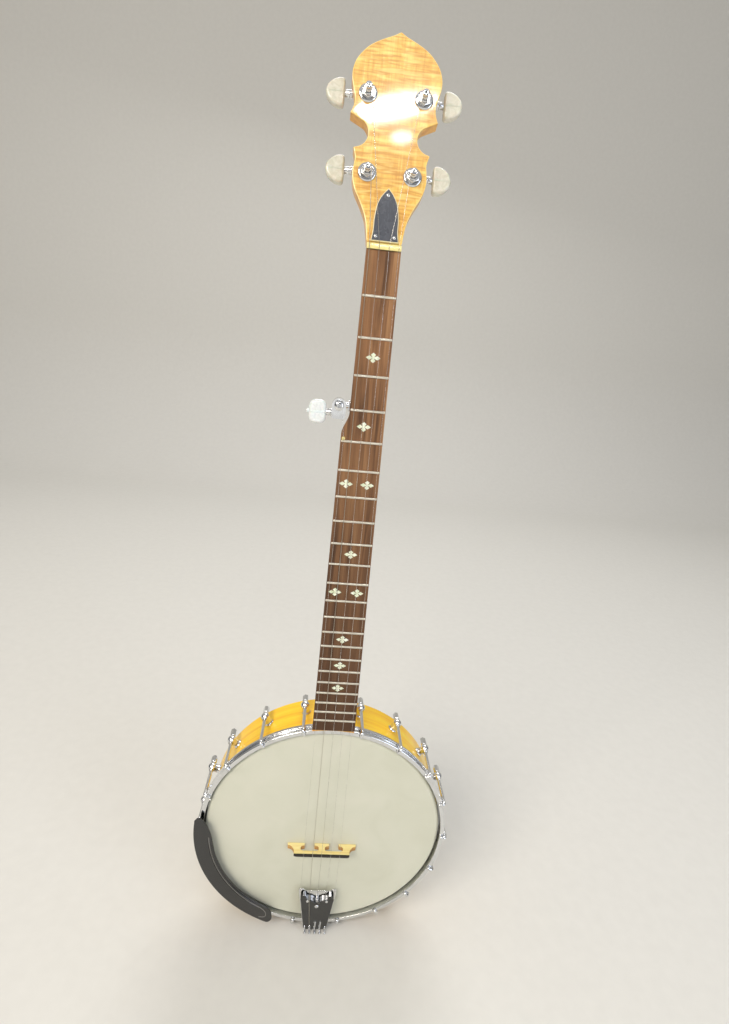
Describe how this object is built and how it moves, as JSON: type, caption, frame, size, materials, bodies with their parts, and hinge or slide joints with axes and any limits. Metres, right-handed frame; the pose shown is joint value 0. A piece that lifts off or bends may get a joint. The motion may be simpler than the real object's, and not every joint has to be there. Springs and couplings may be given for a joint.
{
  "type": "open-back banjo",
  "caption": "Open-back folk banjo with a shallow maple pot, round armrest, dovetail-notched maple headstock and a geared drone-string tuner on the neck's side.",
  "frame": {"origin": "the rim's lowest outer point, level with the middle of the pot's depth, where a stand's cradle holds the pot", "axes": "+Z from the pot up the neck to the headstock, +Y from the head towards the open back, +X to the right seen from the front"},
  "size_m": [0.3106, 0.0831, 0.9744],
  "materials": {
    "maple": "amber gloss lacquer over plain maple",
    "flamed_maple": "gloss lacquer over flamed maple",
    "rosewood": "oiled rosewood with nickel frets and cream inlays",
    "bone": "polished bone",
    "black_gloss": "glossy black",
    "ebony": "satin ebony",
    "frosted_skin": "frosted coating",
    "tone_ring_brass": "satin brass",
    "string_steel": "bright drawn steel",
    "steel": "plain steel",
    "chrome": "polished chrome",
    "pearloid": "swirled pearloid"
  },
  "bodies": {
    "banjo": {"neck": "maple", "headstock_overlay": "flamed_maple", "fingerboard": "rosewood", "string_nut": "bone", "fifth_string_pip": "bone", "truss_rod_cover": "black_gloss", "truss_rod": "steel", "rim": "maple", "tone_ring": "tone_ring_brass", "head": "frosted_skin", "flesh_hoop": "steel", "tension_hoop": "chrome", "bracket_01": "chrome", "bracket_02": "chrome", "bracket_03": "chrome", "bracket_04": "chrome", "bracket_05": "chrome", "bracket_06": "chrome", "bracket_07": "chrome", "bracket_08": "chrome", "bracket_09": "chrome", "bracket_10": "chrome", "bracket_11": "chrome", "bracket_12": "chrome", "bracket_13": "chrome", "bracket_14": "chrome", "bracket_15": "chrome", "bracket_16": "chrome", "bracket_17": "chrome", "bracket_18": "chrome", "coordinator_rod": "steel", "tailpiece_base": "chrome", "tailpiece_cover": "black_gloss", "armrest": "black_gloss", "bridge": "maple", "bridge_cap": "ebony", "string_1": "string_steel", "string_2": "string_steel", "string_3": "string_steel", "string_4": "string_steel", "string_5": "string_steel", "tuner_housing_upper_left": "chrome", "tuner_bushing_upper_left": "chrome", "tuner_housing_upper_right": "chrome", "tuner_bushing_upper_right": "chrome", "tuner_housing_lower_left": "chrome", "tuner_bushing_lower_left": "chrome", "tuner_housing_lower_right": "chrome", "tuner_bushing_lower_right": "chrome", "fifth_tuner_housing": "chrome"},
    "button_upper_left": {"tuner_button_upper_left": "pearloid"},
    "post_upper_left": {"tuner_post_upper_left": "chrome"},
    "button_upper_right": {"tuner_button_upper_right": "pearloid"},
    "post_upper_right": {"tuner_post_upper_right": "chrome"},
    "button_lower_left": {"tuner_button_lower_left": "pearloid"},
    "post_lower_left": {"tuner_post_lower_left": "chrome"},
    "button_lower_right": {"tuner_button_lower_right": "pearloid"},
    "post_lower_right": {"tuner_post_lower_right": "chrome"},
    "button_fifth": {"fifth_tuner_button": "pearloid"},
    "post_fifth": {"fifth_tuner_post": "chrome"}
  },
  "joints": [
    {"name": "turn_button_upper_left", "type": "hinge", "parent": "banjo", "child": "button_upper_left", "pos_m": [-0.021, 0.0051, 0.9131], "axis": [1, 0, 0], "continuous": true},
    {"name": "turn_post_upper_left", "type": "hinge", "parent": "banjo", "child": "post_upper_left", "pos_m": [-0.021, -0.00085, 0.9066], "axis": [0, -0.9703, 0.2419], "continuous": true},
    {"name": "turn_button_upper_right", "type": "hinge", "parent": "banjo", "child": "button_upper_right", "pos_m": [0.027, 0.0051, 0.9131], "axis": [1, 0, 0], "continuous": true},
    {"name": "turn_post_upper_right", "type": "hinge", "parent": "banjo", "child": "post_upper_right", "pos_m": [0.027, -0.00085, 0.9066], "axis": [0, -0.9703, 0.2419], "continuous": true},
    {"name": "turn_button_lower_left", "type": "hinge", "parent": "banjo", "child": "button_lower_left", "pos_m": [-0.0166, -0.01048, 0.85061], "axis": [1, 0, 0], "continuous": true},
    {"name": "turn_post_lower_left", "type": "hinge", "parent": "banjo", "child": "post_lower_left", "pos_m": [-0.0166, -0.01643, 0.84411], "axis": [0, -0.9703, 0.2419], "continuous": true},
    {"name": "turn_button_lower_right", "type": "hinge", "parent": "banjo", "child": "button_lower_right", "pos_m": [0.0226, -0.01048, 0.85061], "axis": [1, 0, 0], "continuous": true},
    {"name": "turn_post_lower_right", "type": "hinge", "parent": "banjo", "child": "post_lower_right", "pos_m": [0.0226, -0.01643, 0.84411], "axis": [0, -0.9703, 0.2419], "continuous": true},
    {"name": "turn_button_fifth", "type": "hinge", "parent": "banjo", "child": "button_fifth", "pos_m": [-0.02396, -0.0386, 0.64295], "axis": [1, 0, 0], "continuous": true},
    {"name": "turn_post_fifth", "type": "hinge", "parent": "banjo", "child": "post_fifth", "pos_m": [-0.02396, -0.0428, 0.6507], "axis": [0, -1, 0], "continuous": true}
  ],
  "couplings": [
    {"joint": "turn_post_upper_left", "follows": "turn_button_upper_left", "ratio": 0.071429},
    {"joint": "turn_post_upper_right", "follows": "turn_button_upper_right", "ratio": 0.071429},
    {"joint": "turn_post_lower_left", "follows": "turn_button_lower_left", "ratio": 0.071429},
    {"joint": "turn_post_lower_right", "follows": "turn_button_lower_right", "ratio": 0.071429},
    {"joint": "turn_post_fifth", "follows": "turn_button_fifth", "ratio": -0.071429}
  ]
}
